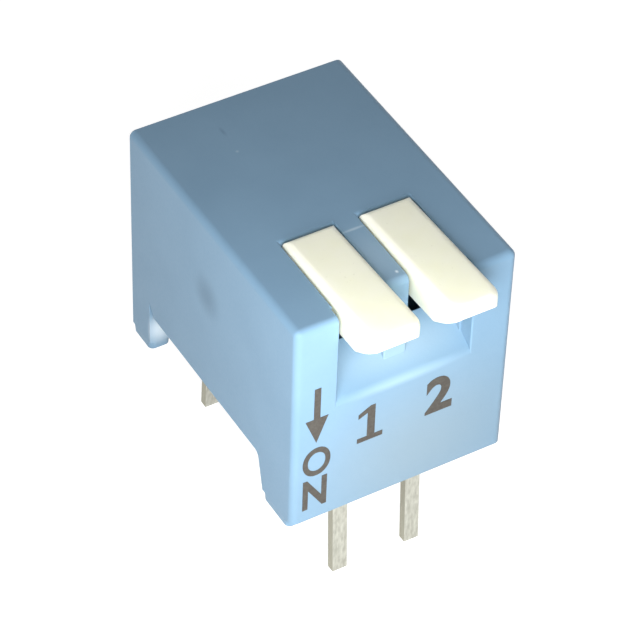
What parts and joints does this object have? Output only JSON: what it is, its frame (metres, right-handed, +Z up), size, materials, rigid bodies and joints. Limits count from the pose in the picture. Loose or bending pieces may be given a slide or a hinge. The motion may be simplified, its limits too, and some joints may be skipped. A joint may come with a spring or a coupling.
{
  "type": "dip switch",
  "caption": "Through-hole DIP switch with side-actuated piano keys: a moulded housing, rocker keys up for off, ball contacts and terminals with board pins.",
  "frame": {"origin": "middle of the pin pattern, on the board plane that the standoffs rest on", "axes": "+Z up from the board, -Y towards the marked front that the keys reach over, +X from position 1 to position 2"},
  "size_m": [0.0072, 0.0115, 0.0121],
  "materials": {
    "housing_plastic": "fine satin moulding",
    "base_plastic": "matt moulding",
    "resin": "cast resin",
    "key_plastic": "satin moulding",
    "tinned_terminal": "matt tin plate on copper alloy",
    "spring_steel": "drawn wire",
    "plated_contact": "polished plating"
  },
  "bodies": {
    "switch_body": {"housing": "housing_plastic", "base": "base_plastic", "bottom_seal": "resin", "front_terminal_1": "tinned_terminal", "rear_terminal_1": "tinned_terminal", "front_terminal_2": "tinned_terminal", "rear_terminal_2": "tinned_terminal"},
    "rocker_1": {"key_1": "key_plastic", "contact_spring_1": "spring_steel", "contact_ball_1": "plated_contact"},
    "rocker_2": {"key_2": "key_plastic", "contact_spring_2": "spring_steel", "contact_ball_2": "plated_contact"}
  },
  "joints": [
    {"name": "key_1_rock", "type": "hinge", "parent": "switch_body", "child": "rocker_1", "pos_m": [-0.00127, 0, 0.0053], "axis": [1, 0, 0], "range_deg": [0, 18]},
    {"name": "key_2_rock", "type": "hinge", "parent": "switch_body", "child": "rocker_2", "pos_m": [0.00127, 0, 0.0053], "axis": [1, 0, 0], "range_deg": [0, 18]}
  ]
}
